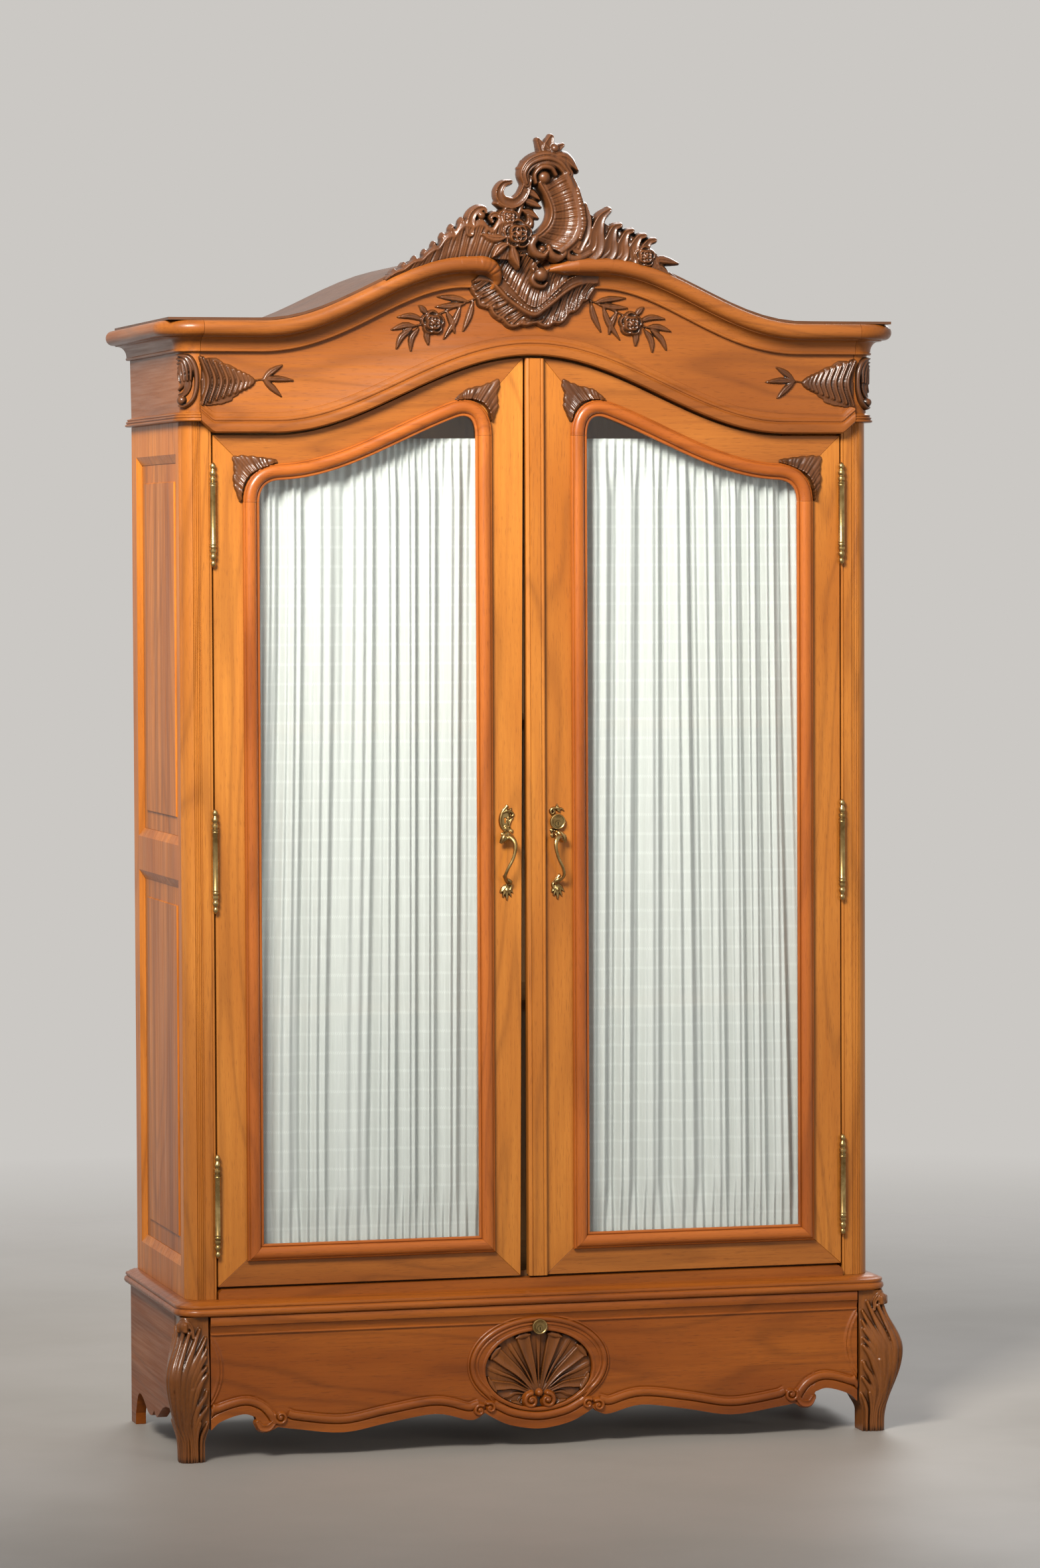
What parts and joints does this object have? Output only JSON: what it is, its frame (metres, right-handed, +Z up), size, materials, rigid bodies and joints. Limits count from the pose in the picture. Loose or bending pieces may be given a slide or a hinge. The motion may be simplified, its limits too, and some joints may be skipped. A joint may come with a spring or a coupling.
{
  "type": "glazed armoire",
  "caption": "Tall walnut armoire with hinged glazed doors, gathered curtains, a serpentine-edged drawer, an arched cornice and a carved crest.",
  "frame": {"origin": "on the floor under the middle of the armoire's box", "axes": "+X to the right seen from the front, +Y to the back, +Z up"},
  "size_m": [1.456, 0.5736, 2.4997],
  "materials": {
    "walnut": "satin varnish",
    "carved_walnut": "darker satin varnish",
    "inner_wood": "plain planed",
    "brass": "lightly aged",
    "glass": "clear",
    "voile": "sheer woven"
  },
  "bodies": {
    "carcass": {"back_panel": "inner_wood", "base_back": "inner_wood", "base_side_left": "walnut", "base_side_right": "walnut", "base_top_board": "walnut", "corner_post_left": "walnut", "corner_post_right": "walnut", "cornice_front": "walnut", "crest_carving": "carved_walnut", "frieze_front": "walnut", "front_leg_left": "carved_walnut", "front_leg_right": "carved_walnut", "hood_side_left": "walnut", "hood_side_right": "walnut", "left_hinge_bottom_pin": "brass", "left_hinge_middle_pin": "brass", "left_hinge_top_pin": "brass", "right_hinge_bottom_pin": "brass", "right_hinge_middle_pin": "brass", "right_hinge_top_pin": "brass", "roof_board": "inner_wood", "shelf_lower": "inner_wood", "shelf_upper": "inner_wood", "side_frame_left": "walnut", "side_frame_right": "walnut", "side_lower_panel_left": "walnut", "side_lower_panel_right": "walnut", "side_upper_panel_left": "walnut", "side_upper_panel_right": "walnut"},
    "left_door": {"left_curtain": "voile", "left_curtain_rod_bottom": "brass", "left_curtain_rod_top": "brass", "left_door_frame": "walnut", "left_glass": "glass", "left_glazing_bead": "walnut", "left_handle": "brass", "left_hinge_bottom_knuckle": "brass", "left_hinge_middle_knuckle": "brass", "left_hinge_top_knuckle": "brass"},
    "right_door": {"right_curtain": "voile", "right_curtain_rod_bottom": "brass", "right_curtain_rod_top": "brass", "right_door_frame": "walnut", "right_glass": "glass", "right_glazing_bead": "walnut", "right_handle": "brass", "right_hinge_bottom_knuckle": "brass", "right_hinge_middle_knuckle": "brass", "right_hinge_top_knuckle": "brass", "meeting_astragal": "walnut", "door_lock": "brass"},
    "drawer": {"drawer_back": "inner_wood", "drawer_bottom": "inner_wood", "drawer_front": "walnut", "drawer_lock": "brass", "drawer_side_left": "inner_wood", "drawer_side_right": "inner_wood"},
    "drawer_lock_plug": {"drawer_lock_plug": "brass"},
    "left_door_bolt": {"left_door_bolt": "brass"},
    "door_lock_plug": {"door_lock_plug": "brass"}
  },
  "joints": [
    {"name": "left_door_hinge", "type": "hinge", "parent": "carcass", "child": "left_door", "pos_m": [-0.62, -0.22043, 1.13275], "axis": [0, 0, -1], "range_deg": [0, 110]},
    {"name": "right_door_hinge", "type": "hinge", "parent": "carcass", "child": "right_door", "pos_m": [0.62, -0.22043, 1.13275], "axis": [0, 0, 1], "range_deg": [0, 110]},
    {"name": "drawer_slide", "type": "slide", "parent": "carcass", "child": "drawer", "axis": [0, -1, 0], "range_m": [0, 0.33]},
    {"name": "drawer_lock_turn", "type": "hinge", "parent": "drawer", "child": "drawer_lock_plug", "pos_m": [0, -0.24119, 0.2285], "axis": [0, 1, 0], "range_deg": [0, 90]},
    {"name": "door_lock_turn", "type": "hinge", "parent": "right_door", "child": "door_lock_plug", "pos_m": [0.0485, -0.21319, 1.1935], "axis": [0, 1, 0], "range_deg": [0, 90]},
    {"name": "left_door_bolt_slide", "type": "slide", "parent": "left_door", "child": "left_door_bolt", "axis": [0, 0, 1], "range_m": [0, 0.032]}
  ]
}
